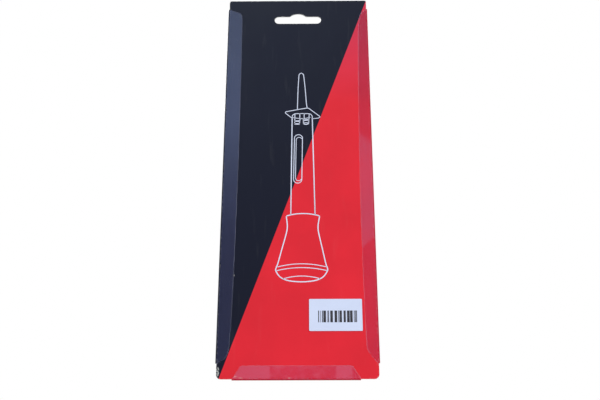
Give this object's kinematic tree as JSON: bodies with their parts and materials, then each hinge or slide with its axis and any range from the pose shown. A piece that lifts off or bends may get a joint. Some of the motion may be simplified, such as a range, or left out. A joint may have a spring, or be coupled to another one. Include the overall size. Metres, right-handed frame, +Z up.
{
  "type": "battery acid tester",
  "caption": "Bulb-and-float battery acid tester with a clear barrel and square flanged nozzle, hung in a slotted two-tone card and clear formed blister pack.",
  "frame": {"origin": "middle of the hang slot, on the card's printed face", "axes": "+Z up along the card as it hangs, -Y out of the printed face, +Y out of the clear pocket, +X to the right when the printed face is seen"},
  "size_m": [0.1014, 0.0477, 0.2813],
  "materials": {
    "printed_card": "coated card printed near black and red",
    "label_paper": null,
    "clear_sheet": "clear thermoformed sheet, glossy with light scuffs",
    "black_rubber": "matt moulded rubber",
    "clear_barrel": "clear moulded tube",
    "white_plastic": "natural white moulding",
    "black_plastic": "satin black moulding",
    "float_clear": "clear thin-walled tube",
    "ballast_metal": "dull grey metal",
    "resin_red": "set resin",
    "scale_paper": "paper strip with plain red, white and green bands",
    "cap_red": "satin red stopper"
  },
  "bodies": {
    "pack": {"blister_shell": "clear_sheet", "rubber_bulb": "black_rubber"},
    "card": {"backing_card": "printed_card", "barcode_label": "label_paper"},
    "barrel": {"barrel": "clear_barrel", "float_retainer": "white_plastic"},
    "nozzle": {"flange_plug": "black_plastic", "nozzle": "black_plastic"},
    "float": {"float_tube": "float_clear", "float_ballast": "ballast_metal", "float_resin": "resin_red", "float_scale": "scale_paper", "float_cap": "cap_red"}
  },
  "joints": [
    {"name": "card_slide", "type": "slide", "parent": "pack", "child": "card", "axis": [0, 0, 1], "range_m": [0, 0.271]},
    {"name": "barrel_pull", "type": "slide", "parent": "pack", "child": "barrel", "axis": [0, 0, 1], "range_m": [0, 0.0145]},
    {"name": "nozzle_pull", "type": "slide", "parent": "barrel", "child": "nozzle", "axis": [0, 0, 1], "range_m": [0, 0.012]},
    {"name": "float_slide", "type": "slide", "parent": "barrel", "child": "float", "axis": [0, 0, 1], "range_m": [0, 0.0464]}
  ]
}
